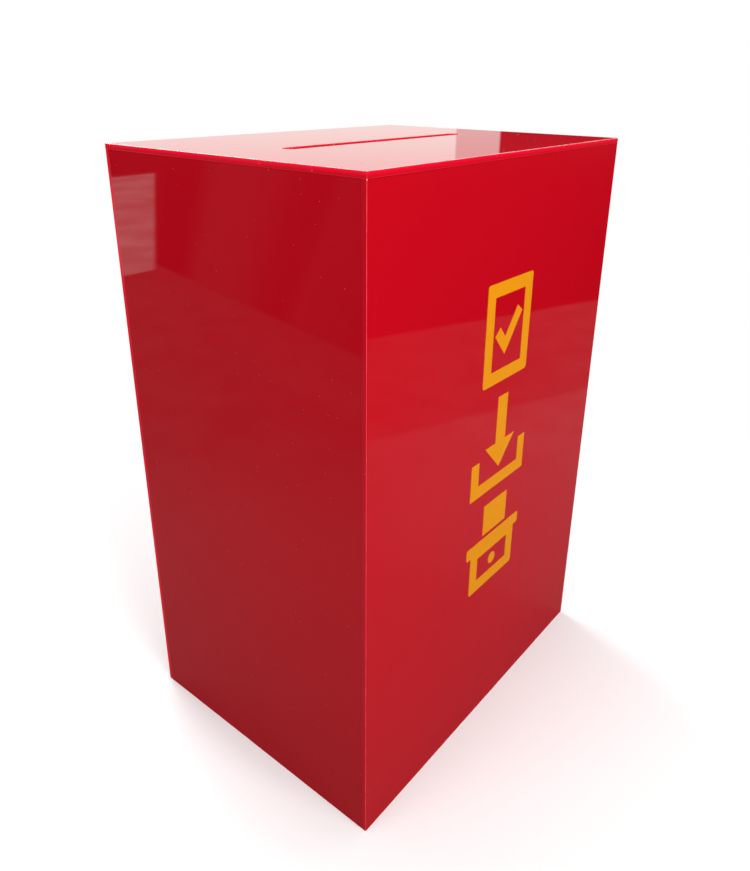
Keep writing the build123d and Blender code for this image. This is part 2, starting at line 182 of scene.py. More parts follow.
class LockSettings(PropertyGroup):
    """The cam lock and its key."""

    head_height: length("Head height", "Height of the housing's head", 0.003)
    head_round: length("Head rounding", "Rounding of the housing's head", 0.0012)
    barrel: length("Barrel", "Radius of the threaded barrel", 0.009)
    flat: length("Flat", "From the barrel's axis to each flat", 0.0081)
    pitch: length("Barrel pitch", "Pitch of the barrel's thread", 0.001)
    thread: length("Thread depth", "Depth of the barrel's thread", 0.0005)
    bore: length("Bore", "Radius of the bore for the plug", 0.00606)
    collar: length("Collar", "Radius of the recess for the plug's collar", 0.00746)
    collar_floor: length("Collar floor", "Height of the recess's floor", 0.00114)
    barrel_length: length("Barrel length", "From the door's face to the barrel's end", 0.0143)
    lug: length("Lug", "Height of the lug on the barrel's end", 0.001)
    lug_inner: length("Lug inner", "Inner radius of the lug", 0.007)
    channel: length("Wafer channel", "Width of the channels for the wafers", 0.00512)
    channel_depth: length("Channel depth", "From the axis to the channels' floor", 0.0072)
    nut_flats: length("Nut flats", "Across the flats of the lock's nut", 0.022)
    softening: length("Softening", "Rounding of the pressed and machined edges", 0.00015)
    panel: length("Bow panel", "Depth of the sunk panel on the key's bow", 0.0003)
    rim: length("Bow rim", "Width of the raised rim round the bow", 0.0019)
    groove: length("Groove", "Width of the groove milled along the blade", 0.0012)


class StageSettings(PropertyGroup):
    """Floor, lamps and camera."""

    place: FloatVectorProperty(
        name="Camera", description="Where the camera stands", size=3,
        default=(-0.5703, -0.4627, 0.6557), subtype="TRANSLATION", unit="LENGTH",
    )
    turn: FloatVectorProperty(
        name="Camera turn", description="How the camera is turned", size=3,
        default=[radians(angle) for angle in (68.4055, -0.5318, -50.8516)], subtype="EULER",
    )
    lens: FloatProperty(
        name="Lens", description="Focal length in millimetres for a picture 36 mm high",
        default=30.592, min=1,
    )
    shift: FloatVectorProperty(
        name="Shift", description="How far the lens is shifted, in picture heights", size=2,
        default=(-0.0074, -0.0750),
    )
    daylight: share("Daylight", "Even light from all round", 0.44)
    floor: share("Floor", "How pale the floor is", 0.93)
    bounce: share("Bounce", "How much light the floor throws back on the box", 0.155)


SETTINGS = {
    "ballot_box_sheet": SheetSettings,
    "ballot_box_film": FilmSettings,
    "ballot_box_metal": MetalSettings,
    "ballot_box_hinge": HingeSettings,
    "ballot_box_screw": ScrewSettings,
    "ballot_box_lock": LockSettings,
    "ballot_box_stage": StageSettings,
}


# Shader nodes


class Out:
    """A node's output, which can be calculated with like a number."""

    def __init__(self, socket):
        self.socket = socket

    def __add__(self, other):
        return maths("ADD", self, other)

    def __sub__(self, other):
        return maths("SUBTRACT", self, other)

    def __rsub__(self, other):
        return maths("SUBTRACT", other, self)

    def __mul__(self, other):
        return maths("MULTIPLY", self, other)


def link(value, socket):
    """Links an output to a socket, or gives the socket a plain value."""
    if isinstance(value, Out):
        socket.id_data.links.new(value.socket, socket)
    else:
        socket.default_value = value


def add(kind, sockets=(), tree=None, **settings):
    """Adds a node with its inputs by name or number, by default to the tree of an input."""
    sockets = dict(sockets)
    if tree is None:
        tree = next(value.socket.id_data for value in sockets.values() if isinstance(value, Out))
    made = tree.nodes.new(kind)
    for name, value in settings.items():
        setattr(made, name, value)
    for key, value in sockets.items():
        link(value, made.inputs[key])
    return made


def result(kind, sockets, output=0, **settings):
    """Adds a node and gives one of its outputs."""
    return Out(add(kind, sockets, **settings).outputs[output])


def outs(made):
    """All the outputs of a node by name."""
    return {output.name: Out(output) for output in made.outputs}


def maths(operation, *values):
    """The result of a Math node."""
    return result("ShaderNodeMath", dict(enumerate(values)), operation=operation)


def most(*values):
    """The greatest of several numbers."""
    return reduce(partial(maths, "MAXIMUM"), values)


def least(*values):
    """The smallest of several numbers."""
    return reduce(partial(maths, "MINIMUM"), values)


def vectors(operation, *values):
    """The vector or the number that a Vector Math node puts out."""
    output = "Value" if operation in ("DOT_PRODUCT", "LENGTH") else "Vector"
    return result("ShaderNodeVectorMath", dict(enumerate(values)), output, operation=operation)


def split(vector):
    """A vector's three parts."""
    return outs(add("ShaderNodeSeparateXYZ", {0: vector})).values()


def smooth(value, low, high, start=0.0, end=1.0):
    """A smooth step from start to end between two values."""
    sockets = dict(enumerate((value, low, high, start, end)))
    return result("ShaderNodeMapRange", sockets, interpolation_type="SMOOTHSTEP")


def mixed(factor, first, second):
    """One colour mixed into another."""
    return result("ShaderNodeMix", {0: factor, 6: first, 7: second}, 2, data_type="RGBA")


def between(factor, first, second):
    """One number mixed into another."""
    return result("ShaderNodeMix", {0: factor, 2: first, 3: second})


def noisy(vector, scale, detail=2.0):
    """The value of a noise texture."""
    return result("ShaderNodeTexNoise", {"Vector": vector, "Scale": scale, "Detail": detail}, "Fac")


def stretched(vector, scale, angles):
    """Coordinates turned and scaled."""
    return result("ShaderNodeMapping", {"Vector": vector, "Rotation": angles, "Scale": scale})


def bumped(height, distance, **sockets):
    """The normal that a height gives."""
    return result("ShaderNodeBump", {"Height": height, "Distance": distance, **sockets})


def rgba(values, factor=1.0):
    """A colour with full alpha, darkened by a factor."""
    return (*(value * factor for value in values), 1.0)


def new_group(name, results, **inputs):
    """An empty node group, and the coordinates and the other inputs that it takes."""
    tree = bpy.data.node_groups.new(name, "ShaderNodeTree")
    for label, kind in {"Vector": "Vector", **inputs}.items():
        socket = "NodeSocket" + kind
        tree.interface.new_socket(label.replace("_", " "), in_out="INPUT", socket_type=socket)
    for label in results:
        tree.interface.new_socket(label, in_out="OUTPUT", socket_type="NodeSocketFloat")
    return [Out(output) for output in tree.nodes.new("NodeGroupInput").outputs if output.name]


def effect(build, here, **sockets):
    """Places a node group, which is built the first time, and gives what it puts out."""
    name = build.__name__.replace("_", " ").capitalize()
    if name not in bpy.data.node_groups:
        build(name)
    given = {label.replace("_", " "): value for label, value in sockets.items()}
    tree = bpy.data.node_groups[name]
    made = add("ShaderNodeGroup", {"Vector": here, **given}, node_tree=tree)
    found = [Out(output) for output in made.outputs]
    return found if len(found) > 1 else found[0]


def from_centre(here, centre, half):
    """How far a point is from a box's centre, and how far inside the box's faces."""
    offset = vectors("SUBTRACT", here, centre)
    return offset, vectors("SUBTRACT", half, vectors("ABSOLUTE", offset))


def sheet_places(name):
    """Masks for a sheet's edges, its rounded arrises, corners and the bond line round it."""
    results = ("Edge", "Arris", "Corner", "Bond", "Outer", "Short")
    here, centre, half, thin, side = new_group(
        name, results, Centre="Vector", Half_Size="Vector", Thin="Vector", Side="Float"
    )
    offset, inside = from_centre(here, centre, half)
    depth = vectors("DOT_PRODUCT", inside, thin)
    x, y, z = split(vectors("ADD", inside, thin))
    outline = least(x, y, z)
    edge = smooth(depth, 2e-5, 0.0002)
    folded = smooth(least(depth, outline), 2e-5, 0.0002)
    height = vectors("DOT_PRODUCT", offset, thin) * side
    add("NodeGroupOutput", {
        "Edge": edge, "Arris": folded * smooth(outline, 0.0007, 0.0008, 1, 0),
        "Corner": smooth(vectors("LENGTH", inside), 0.0005, 0.0013, 1, 0),
        "Bond": smooth(outline, 0.0002, 0.0012, 1, 0) * (1 - edge),
        "Outer": smooth(height, -0.0018, 0.0018),
        "Short": smooth(x, 0.0006, 0.002, 1, 0),
    })


def case_rim(name):
    """A mask for the case's outer edges, on both of the faces that meet in each."""
    here, centre, half, width = new_group(
        name, ("Rim",), Centre="Vector", Half_Size="Vector", Rim="Float"
    )
    x, y, z = split(from_centre(here, centre, half)[1])
    nearer = least(most(x, y), z)
    second = most(least(x, y), nearer)
    add("NodeGroupOutput", {"Rim": smooth(second, width, width * 1.4, 1, 0)})


def specks(name):
    """Small round specks, of random size, in a share of the cells."""
    here, cell, speck, chosen = new_group(
        name, ("Mask",), Cell="Float", Speck="Float", Share="Float"
    )
    scale = maths("DIVIDE", 1, cell)
    cells = outs(add("ShaderNodeTexVoronoi", {"Vector": here, "Scale": scale}))
    size, chance, _ = outs(add("ShaderNodeSeparateColor", {0: cells["Color"]})).values()
    limit = speck * scale * (size * 0.7 + 0.3)
    dot = smooth(cells["Distance"], limit * 0.5, limit, 1, 0)
    add("NodeGroupOutput", {"Mask": dot * maths("LESS_THAN", chance, chosen)})


def haze(name):
    """Soft patches and wiped streaks."""
    here, scale = new_group(name, ("Haze",), Scale="Float")
    soft = smooth(noisy(here, scale, 4), 0.42, 0.75)
    streaks = noisy(stretched(here, (1, 1, 0.18), (0.3, 0.2, 0.5)), scale * 6, 3)
    add("NodeGroupOutput", {"Haze": soft * 0.65 + streaks * 0.35})


def hairlines(name):
    """Thin broken scratches in two directions."""
    here, scale = new_group(name, ("Lines",), Scale="Float")
    found = []
    for angles, stretch in (((0.4, 0.9, 0.3), (1, 1, 9)), ((1.2, -0.5, 0.8), (7, 1, 1))):
        wave = noisy(stretched(here, stretch, angles), scale, 1)
        line = smooth(maths("ABSOLUTE", wave - 0.5), 0, 0.006, 1, 0)
        found.append(line * smooth(noisy(here, scale * 2.3, 1), 0.56, 0.64))
    add("NodeGroupOutput", {"Lines": most(*found)})


def grain(name):
    """The fine parallel lines that a brush or a lathe leaves."""
    here, scale = new_group(name, ("Grain",), Scale="Vector")
    add("NodeGroupOutput", {"Grain": noisy(vectors("MULTIPLY", here, scale), 1, 3)})


# Materials


def coordinates(tree, kind="Object"):
    """Texture coordinates of a kind."""
    return outs(add("ShaderNodeTexCoord", tree=tree))[kind]


def new_material(name, look):
    """A new material and its Object coordinates."""
    material = bpy.data.materials.new(name)
    material.use_nodes = True
    material.diffuse_color = rgba(look)
    return material, coordinates(material.node_tree)


def finish(material, sockets):
    """Links a material's results to its Principled shader."""
    shader = material.node_tree.nodes["Principled BSDF"]
    for name, value in sockets.items():
        link(value, shader.inputs[name])
    return material


def from_slot(sheet, here):
    """How far a point on the lid is from the wall of the slot."""
    across, along, _ = split(here)
    beyond = most(maths("ABSOLUTE", across) - (sheet.slot[0] - sheet.slot[1]) / 2, 0.0)
    return maths("SQRT", beyond * beyond + along * along) - sheet.slot[1] / 2


def acrylic(sheet, node):
    """Polished cast acrylic for one panel, with painted glow on its brighter edges and painted
    highlights on its pale arrises.
    """
    material, here = new_material("acrylic " + node.replace("_", " "), sheet.face)
    lid = node == "top_panel"
    low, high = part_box(node)
    case_low, case_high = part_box("top_panel")  # the lid covers the whole case
    case_low.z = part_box("bottom_panel")[0].z
    case_centre, case_half = (case_low + case_high) / 2, (case_high - case_low) / 2
    centre, size = (low + high) / 2, (high - low) / 2
    thin = Vector([float(value == min(size)) for value in size])
    side = 1.0 if (centre - case_centre).dot(thin) > 0 else -1.0
    edge, arris, corner, bond, outer, short = effect(
        sheet_places, here, Centre=centre, Half_Size=size, Thin=thin, Side=side
    )
    # Painted highlight: the width of the pale line painted along the case's outer edges, wider on
    # the lid.
    highlight_width = 0.0012 if lid else 0.0003
    rim = effect(case_rim, here, Centre=case_centre, Half_Size=case_half, Rim=highlight_width)
    dust = sheet.lid_dust if lid else sheet.wall_dust
    dots = effect(specks, here, Cell=0.0045, Speck=0.0007, Share=dust)
    bloom = effect(haze, here, Scale=5)
    _, _, level = split(here)
    scuffs = smooth(level, 0, 0.012, 1, 0) * smooth(noisy(here, 160, 4), 0.5, 0.7)
    lines = most(effect(hairlines, here, Scale=9), scuffs)
    # Painted highlight: the brighter edge colour is laid on more strongly towards the sheet's outer
    # face.
    painted_edge_light = outer * 0.7 + 0.3
    if lid:
        dots = most(dots, effect(specks, here, Cell=0.021, Speck=0.002, Share=dust))
        away = from_slot(sheet, here)
        mouth = smooth(away, 0.001, 0.0013, 1, 0)
        lip = smooth(away, 0.0019, 0.0024, 1, 0)
        flat = 1 - edge
        # Painted highlight: a pale line painted along the lip round the slot's mouth.
        rim = most(rim, lip - mouth) * flat
        routed = mouth * flat
        # The slot's walls take the brighter painted edge colour too.
        edge = most(edge, mouth)
        # Painted light: the lid's edges give off light, more on the short edges and towards the top
        # face, and its lower arris gives off a line of light.
        glow = between(short, sheet.long_glow, sheet.short_glow)
        glow = glow * (1 - mouth) * (outer * 0.8 + 0.2)
        glowing_arris = arris * (1 - outer)
        corner_highlight = 0.0
        highlight_tone = rgba(sheet.lid_arris)
    else:
        routed = 0.0
        glowing_arris = rim * 0.5
        # Painted highlight: the walls' arrises are painted in the paler arris colour as a highlight
        # line.
        rim = most(rim, arris)
        painted_edge_light = painted_edge_light * sheet.wall_edge
        ends = sheet.back_glow if node == "back_panel" else sheet.wall_glow
        glow = between(short, sheet.wall_glow, ends)
        # Painted highlight: a pale dot painted where the arrises meet at a sheet's corners.
        corner_highlight = corner * rim
        highlight_tone = mixed(corner_highlight, rgba(sheet.arris), rgba(sheet.lid_arris))
    # Painted highlight: noise breaks up the pale lines along the arrises, and the corner dots stay
    # whole.
    broken = smooth(noisy(here, 90, 3), 0.35, 0.6, 0.5 if lid else 0.4, 0.9)
    rim = most(rim * broken, corner_highlight)
    tone = mixed(noisy(here, 3), rgba(sheet.face, 0.9), rgba(sheet.face))
    # The rim mask paints the highlight tone along the arrises, and the edge mask paints the
    # brighter edge colour.
    for amount, paint in (
        (bond * 0.3, rgba((0.3, 0, 0.005))), (edge * painted_edge_light, rgba(sheet.edge)),
        (rim, highlight_tone), (dots * (0.45 if lid else 0.25), rgba(sheet.dust)),
    ):
        tone = mixed(amount, tone, paint)
    rough = bloom * 0.035 + sheet.gloss
    for mask, amount in ((lines, 0.06), (edge, 0.1), (routed, 0.5), (rim, 0.2), (dots, 0.5)):
        rough = rough + mask * amount
    waves = bumped(noisy(here, 11, 1), sheet.wave)
    # Painted light: the edges and the arrises give off light in their own colours, though they are
    # no lamps.
    glowing = mixed(edge * glow, rgba((0, 0, 0)), rgba(sheet.edge))
    return finish(material, {
        "Base Color": tone, "Roughness": rough, "IOR": ACRYLIC_IOR,
        "Normal": bumped(dots - lines, 2e-6, Normal=waves),
        "Emission Color": mixed(glowing_arris * sheet.arris_glow, glowing, rgba(sheet.arris)),
        "Emission Strength": 1.0,
    })


def cement(sheet):
    """Squeezed-out cement: the sheet's colour, glossy and slightly uneven."""
    material, here = new_material("cement bead", sheet.face)
    beads = noisy(here, 220, 3)
    return finish(material, {
        "Base Color": mixed(beads, rgba(sheet.face), rgba(sheet.edge)), "IOR": ACRYLIC_IOR,
        "Roughness": noisy(here, 60) * 0.2 + 0.02, "Normal": bumped(beads, 6e-5),
    })


def vinyl(film):
    """Cut vinyl film: satin, with the fine texture of its face and a little dust."""
    material, here = new_material("yellow vinyl", film.face)
    bloom = effect(haze, here, Scale=14)
    dots = effect(specks, here, Cell=0.004, Speck=0.0006, Share=0.15)
    lines = effect(hairlines, here, Scale=16)
    tone = mixed(bloom, rgba(film.face), rgba(film.face, 0.94))
    return finish(material, {
        "Base Color": mixed(dots * 0.5, tone, rgba((0.45, 0.12, 0.02))),
        "Roughness": bloom * 0.12 + film.gloss - lines * 0.08,
        "Normal": bumped(noisy(here, 1400) - lines * 0.6, 4e-6),
        "IOR": VINYL_IOR, "Specular IOR Level": 0.2,
    })


# Each slot's name, colour, roughness, brush marks per metre, their depth, mottling and dulling
METALS = {
    "hinge_steel": ("brushed steel", "steel", 0.26, (2200, 900, 45), 6e-6, 0.2, 0.12),
    "screw_steel": ("bright zinc", "zinc", 0.2, (600, 600, 600), 2e-6, 0.3, 0.12),
    "lock_chrome": ("chrome plate", "chrome", 0.04, (300, 300, 300), 6e-7, 0.08, 0.05),
    "plug_brass": ("nickel plate", "nickel", 0.14, (2500, 2500, 700), 2e-6, 0.2, 0.12),
    "cam_steel": ("zinc on pressed steel", "zinc", 0.28, (900, 500, 250), 2e-6, 0.3, 0.12),
    "key_nickel": ("key nickel", "nickel", 0.18, (600, 300, 3500), 3e-6, 0.25, 0.12),
}


def metal(slot):
    """A slot's metal with the marks of its making, made the first time."""
    name, colour_name, roughness, brush, depth, mottle, dull = METALS[slot]
    if name in bpy.data.materials:
        return bpy.data.materials[name]
    look = getattr(bpy.context.scene.ballot_box_metal, colour_name)
    material, here = new_material(name, look)
    lines = effect(grain, here, Scale=brush)
    marks = effect(hairlines, here, Scale=60)
    bloom = effect(haze, here, Scale=90)
    brushed = smooth(lines, 0.38, 0.62, 0.0, 0.6)
    tone = mixed(most(bloom, brushed), rgba(look), rgba(look, 1 - mottle))
    return finish(material, {
        "Base Color": mixed(marks * 0.5, tone, rgba(look, 0.6)), "Metallic": 1.0,
        "Roughness": (lines + bloom) * dull + marks * 0.15 + roughness,
        "Normal": bumped(lines - marks * 0.5, depth),
    })


# Modelling


def mesh_of(name, bm):
    """A mesh made of a bmesh, which it uses up."""
    mesh = bpy.data.meshes.new(name)
    bm.to_mesh(mesh)
    bm.free()
    return mesh


def put(name, data):
    """A new object in the scene."""
    made = bpy.data.objects.new(name, data)
    bpy.context.scene.collection.objects.link(made)
    return made


def only(kind, items):
    """The vertices, edges or faces among what an operator made."""
    return [item for item in items if isinstance(item, kind)]


def at(*place):
    """A matrix that moves to a place."""
    return Matrix.Translation(place)


def turn(angle, axis="Z"):
    """A matrix that turns about an axis."""
    return Matrix.Rotation(angle, 4, axis)


def moved(bm, matrix):
    """The bmesh, moved."""
    bmesh.ops.transform(bm, matrix=matrix, verts=bm.verts)
    return bm


def box_mesh(low, high):
    """A block between two opposite corners."""
    low, high = Vector(low), Vector(high)
    bm = bmesh.new()
    place = Matrix.LocRotScale((low + high) / 2, None, high - low)
    bmesh.ops.create_cube(bm, size=1, matrix=place)
    return bm


def outlined(profile, closed=False):
    """A bmesh with a line through points of (radius, height), and that line's parts."""
    bm = bmesh.new()
    points = [bm.verts.new((radius, 0, height)) for radius, height in profile]
    pairs = list(zip(points, points[1:])) + ([(points[-1], points[0])] if closed else [])
    return bm, points + [bm.edges.new(pair) for pair in pairs]


def spun(bm, parts, angle, steps, **how):
    """Spins parts of a bmesh about the Z axis."""
    bmesh.ops.spin(
        bm, geom=parts, cent=(0, 0, 0), axis=(0, 0, 1), angle=angle, steps=steps, **how
    )


def turned(profile, closed=False, steps=48):
    """A shape turned about Z from a profile of (radius, height)."""
    bm, line = outlined(profile, closed)
    spun(bm, line, tau, steps, use_merge=True)
    bmesh.ops.remove_doubles(bm, verts=bm.verts, dist=1e-7)
    bmesh.ops.recalc_face_normals(bm, faces=bm.faces)
    return bm


def arc(across, up, radius, start, end, steps=6):
    """Profile points along part of a circle, with its angles in degrees."""
    angles = [radians(start + (end - start) * step / steps) for step in range(steps + 1)]
    return [(across + radius * cos(angle), up + radius * sin(angle)) for angle in angles]


def rod(radius, low, high, steps=48):
    """A plain round bar on the Z axis."""
    return turned([(0, low), (radius, low), (radius, high), (0, high)], steps=steps)


def rounded(bm, edges, width, segments):
    """Rounds some edges of a bmesh."""
    bmesh.ops.bevel(
        bm, geom=edges, offset=width, offset_type="OFFSET", affect="EDGES",
        segments=segments, profile=0.5, material=-1, clamp_overlap=True,
    )


def soften(bm, width, sharper_than):
    """The bmesh with the edges rounded that are sharper than an angle."""
    sharp = [
        edge for edge in bm.edges
        if edge.is_manifold and edge.calc_face_angle(0) > radians(sharper_than)
    ]
    rounded(bm, sharp, width, 2)
    return bm


def sliced(bm, level, up=1, **how):
    """Cuts through a bmesh at a height and gives what the cut made."""
    return bmesh.ops.bisect_plane(
        bm, geom=bm.verts[:] + bm.edges[:] + bm.faces[:], plane_co=(0, 0, level),
        plane_no=(0, 0, up), **how,
    )["geom_cut"]


def combined(bm, *steps):
    """The bmesh after it has been joined to, cut by or kept in common with others."""
    items = [put("temporary", mesh_of("temporary", bm))]
    for operation, other in steps:
        items.append(put("temporary", mesh_of("temporary", other)))
        modifier = items[0].modifiers.new("combine", "BOOLEAN")
        modifier.operation = operation
        modifier.solver = "EXACT"
        modifier.object = items[-1]
    evaluated = items[0].evaluated_get(bpy.context.evaluated_depsgraph_get())
    mesh = bpy.data.meshes.new_from_object(evaluated)
    result_bm = bmesh.new()
    result_bm.from_mesh(mesh)
    for spent in [mesh] + [item.data for item in items]:
        bpy.data.meshes.remove(spent)
    return result_bm


def cut(bm, *others):
    """The bmesh with the others cut out of it."""
    return combined(bm, *[("DIFFERENCE", other) for other in others])


def joined(meshes):
    """Several bmeshes as one, which uses them up."""
    together = bmesh.new()
    for bm in meshes:
        mesh = mesh_of("part", bm)
        together.from_mesh(mesh)
        bpy.data.meshes.remove(mesh)
    return together


def solid_copy(node):
    """A CAD node's mesh as a closed bmesh with whole faces."""
    bm = bmesh.new()
    bm.from_mesh(frame["nodes"][node].data)
    bmesh.ops.remove_doubles(bm, verts=bm.verts, dist=1e-6)
    bmesh.ops.dissolve_limit(bm, angle_limit=radians(0.5), verts=bm.verts, edges=bm.edges)
    return bm


def piece(name, bm, body, slot, material, *stands_for):
    """Makes a finished bmesh a piece that rides on a body and stands for CAD nodes."""
    if any(edge.is_boundary for edge in bm.edges):
        bmesh.ops.remove_doubles(bm, verts=bm.verts, dist=SLIVER)
        gaps = [edge for edge in bm.edges if edge.is_boundary]
        bmesh.ops.holes_fill(bm, edges=gaps, sides=8)
    bmesh.ops.recalc_face_normals(bm, faces=bm.faces)
    for face in bm.faces:
        face.smooth = True
    made = put(name, mesh_of(name, bm))
    made.data.set_sharp_from_angle(angle=SHARP)
    made.data.materials.append(material)
    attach(made, body)
    if stands_for:
        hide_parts(*stands_for)


def metal_piece(make, node, bm, body, slot):
    """Makes a bmesh the metal piece that stands for a CAD node."""
    piece(f"{make}_{node}", bm, body, slot, metal(slot), node)


def dress(slot, material_of):
    """Gives the CAD nodes with a slot their materials."""
    for part in frame["record"]["subparts"]:
        if part["material_slot"] == slot:
            slots = frame["nodes"][part["node"]].data.materials
            slots.clear()
            slots.append(material_of(part["node"]))


def middle(node):
    """The centre of a CAD node's box."""
    low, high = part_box(node)
    return (low + high) / 2


def out_of_back(x, z):
    """Turns a piece built up +Z so that it points out of the back at a place on it."""
    return at(x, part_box("rear_door")[1].y, z) @ turn(-pi / 2, "X")


def threaded_rod(crest, root, pitch, low, high, tip, steps=32):
    """A round bar with a helical thread between two heights and a chamfer at its low end."""
    bm, line = outlined([
        (radius, low - pitch + pitch * lift)
        for radius, lift in ((root, 0), (root, 0.1), (crest, 0.48), (crest, 0.62), (root, 1))
    ])
    turns = int((high - low) / pitch) + 3
    spun(bm, line, tau * turns, steps * turns, dvec=(0, 0, pitch / steps))
    bmesh.ops.remove_doubles(bm, verts=bm.verts, dist=pitch * 0.01)
    for level, up in ((low, -1), (high, 1)):
        rim = only(bmesh.types.BMEdge, sliced(bm, level, up, dist=1e-8, clear_outer=True))
        bmesh.ops.edgeloop_fill(bm, edges=rim)
    bmesh.ops.recalc_face_normals(bm, faces=bm.faces)
    profile = [(0, low), (crest - tip, low), (crest + tip, low + 2 * tip)]
    profile += [(crest + tip, high + pitch), (0, high + pitch)]
    return combined(bm, ("INTERSECT", turned(profile)))


def pan_screw(head, height, rounding, radius, depth, pitch, plain=0.0):
    """A pan-head screw with its seat at zero and its shank hanging down."""
    neck = radius - pitch * 0.3
    profile = [(0, height), *arc(head - rounding, height - rounding, rounding, 90, 0)]
    profile += [(head, 0), (neck, 0), (neck, -plain - pitch), (0, -plain - pitch)]
    shank = threaded_rod(radius, radius - pitch * 0.6, pitch, -depth, -plain, pitch * 0.6)
    screw = combined(turned(profile), ("UNION", shank))
    long, wide, deep = head * 0.575, head * 0.145, height * 0.55
    blades = []
    for angle in (0, pi / 2):
        blade = box_mesh((-long, -wide, height - deep), (long, wide, height + deep))
        lower = [vert for vert in blade.verts if vert.co.z < height]
        bmesh.ops.scale(blade, vec=(0.6, 0.75, 1), verts=lower)
        blades.append(moved(blade, turn(angle)))
    return cut(screw, *blades)


def hexagon_nut(flats, height, bore):
    """A chamfered hexagon nut that stands on zero."""
    bm = bmesh.new()
    corner = flats / 2 / cos(pi / 6)
    bmesh.ops.create_cone(
        bm, cap_ends=True, segments=6, radius1=corner, radius2=corner, depth=height,
        matrix=at(0, 0, height / 2) @ turn(pi / 6),
    )
    wide, tight = corner * 1.02, flats / 2 * 0.96
    rise = (corner - tight) * 0.6
    profile = [(0, 0), (tight, 0), (wide, rise), (wide, height - rise), (tight, height)]
    chamfers = turned(profile + [(0, height)], steps=72)
    return combined(bm, ("INTERSECT", chamfers), ("DIFFERENCE", rod(bore, -height, 2 * height)))


def hinge_leaf(sizes, reach, height, radius, seat, holes, first):
    """A leaf about the pin's axis: a plate towards +X with its edge rolled into knuckles."""
    root = radius + sizes.relief
    bm = box_mesh((root, -seat, -height / 2), (reach, sizes.thickness - seat, height / 2))
    corners = [
        edge for edge in bm.edges
        if min(v.co.x for v in edge.verts) > root + HAIR
        and abs(edge.verts[0].co.y - edge.verts[1].co.y) > HAIR
    ]
    rounded(bm, corners, sizes.corner, 8)
    size = (height - (sizes.knuckles - 1) * sizes.gap) / sizes.knuckles
    lows = [-height / 2 + index * (size + sizes.gap) for index in range(sizes.knuckles)]
    spans = [(low, low + size) for low in lows]
    for level in sorted({level for span in spans for level in span})[1:-1]:
        sliced(bm, level, dist=1e-7)
    strips = [
        face for face in bm.faces
        if all(abs(v.co.x - root) < HAIR for v in face.verts)
        and any(low < face.calc_center_median().z < high for low, high in spans[first::2])
    ]
    grown = bmesh.ops.extrude_face_region(bm, geom=strips)["geom"]
    bmesh.ops.delete(bm, geom=strips, context="FACES_ONLY")
    lip = only(bmesh.types.BMVert, grown)
    bmesh.ops.translate(bm, vec=(-root, seat - radius, 0), verts=lip)
    ends = only(bmesh.types.BMFace, grown)
    around = {part for face in ends for part in (*face.verts, *face.edges)}
    roll = radians(298)  # from the plate round to its own edge
    spun(bm, ends + list(around), -roll, 30)
    soften(bm, sizes.softening, 50)
    return cut(bm, *[
        moved(rod(sizes.hole, -seat * 2, seat * 2), at(holes, 0, level) @ turn(pi / 2, "X"))
        for level in (-sizes.pitch / 2, sizes.pitch / 2)
    ])


def cement_bead(run, first, second, leg):
    """A hollow-faced bead of cement along an inner corner, slightly uneven along its length."""
    start, end, first, second = (Vector(point) for point in (*run, first, second))
    sunk = 0.08  # how far the bead's back lies in the sheets, as a share of its leg
    spacing = 0.006
    bm = bmesh.new()
    offsets = [(-sunk, -sunk), (1, -sunk)]
    offsets += [(1 - sin(radians(a)), 1 - cos(radians(a))) for a in (0, 22, 45, 68, 90)]
    offsets += [(-sunk, 1)]
    ring = [bm.verts.new(start + (first * a + second * b) * leg) for a, b in offsets]
    grown = bmesh.ops.extrude_face_region(bm, geom=[bm.faces.new(ring)])["geom"]
    bmesh.ops.translate(bm, vec=end - start, verts=only(bmesh.types.BMVert, grown))
    along = (end - start).normalized()
    rails = [
        edge for edge in bm.edges
        if abs((edge.verts[0].co - edge.verts[1].co).normalized().dot(along)) > 0.99
    ]
    cuts = int((end - start).length / spacing)
    bmesh.ops.subdivide_edges(bm, edges=rails, cuts=cuts, use_grid_fill=True)
    for vert in bm.verts:
        out = vert.co - start
        out -= along * out.dot(along)
        wave = noise.noise(vert.co * 45) + 0.4 * noise.noise(vert.co * 160)
        if out.length > leg * 0.3:
            vert.co += out * wave * 0.5
    return bm


# Operators


class BALLOTBOX_OT_sheets(Operator):
    """Gives every panel, the door and its stop bars their acrylic"""

    bl_idname = "ballot_box.sheets"
    bl_label = "Acrylic sheets"

    def execute(self, context):
        dress("red_acrylic", lambda node: acrylic(context.scene.ballot_box_sheet, node))
        return {"FINISHED"}


class BALLOTBOX_OT_beads(Operator):
    """Lays the cement beads in the inner corners of the case"""

    bl_idname = "ballot_box.beads"
    bl_label = "Cement beads"

    def execute(self, context):
        sheet = context.scene.ballot_box_sheet
        left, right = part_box("left_side_panel")[1].x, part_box("right_side_panel")[0].x
        front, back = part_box("front_panel")[1].y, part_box("back_panel")[0].y
        floor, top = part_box("bottom_panel")[1].z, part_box("top_panel")[0].z
        sides = ((left, (1, 0, 0)), (right, (-1, 0, 0)))
        ends = ((front, (0, 1, 0)), (back, (0, -1, 0)))
        levels = ((floor, (0, 0, 1)), (top, (0, 0, -1)))
        corners = [
            (((x, y, floor), (x, y, top)), inward, ahead)
            for (x, inward), (y, ahead) in product(sides, ends)
        ]
        for z, up in levels:
            corners += [(((x, front, z), (x, back, z)), inward, up) for x, inward in sides]
            corners += [(((left, y, z), (right, y, z)), ahead, up) for y, ahead in ends]
        beads = joined(cement_bead(*corner, sheet.bead) for corner in corners)
        piece("cement_beads", beads, "case", "red_acrylic", cement(sheet))
        return {"FINISHED"}


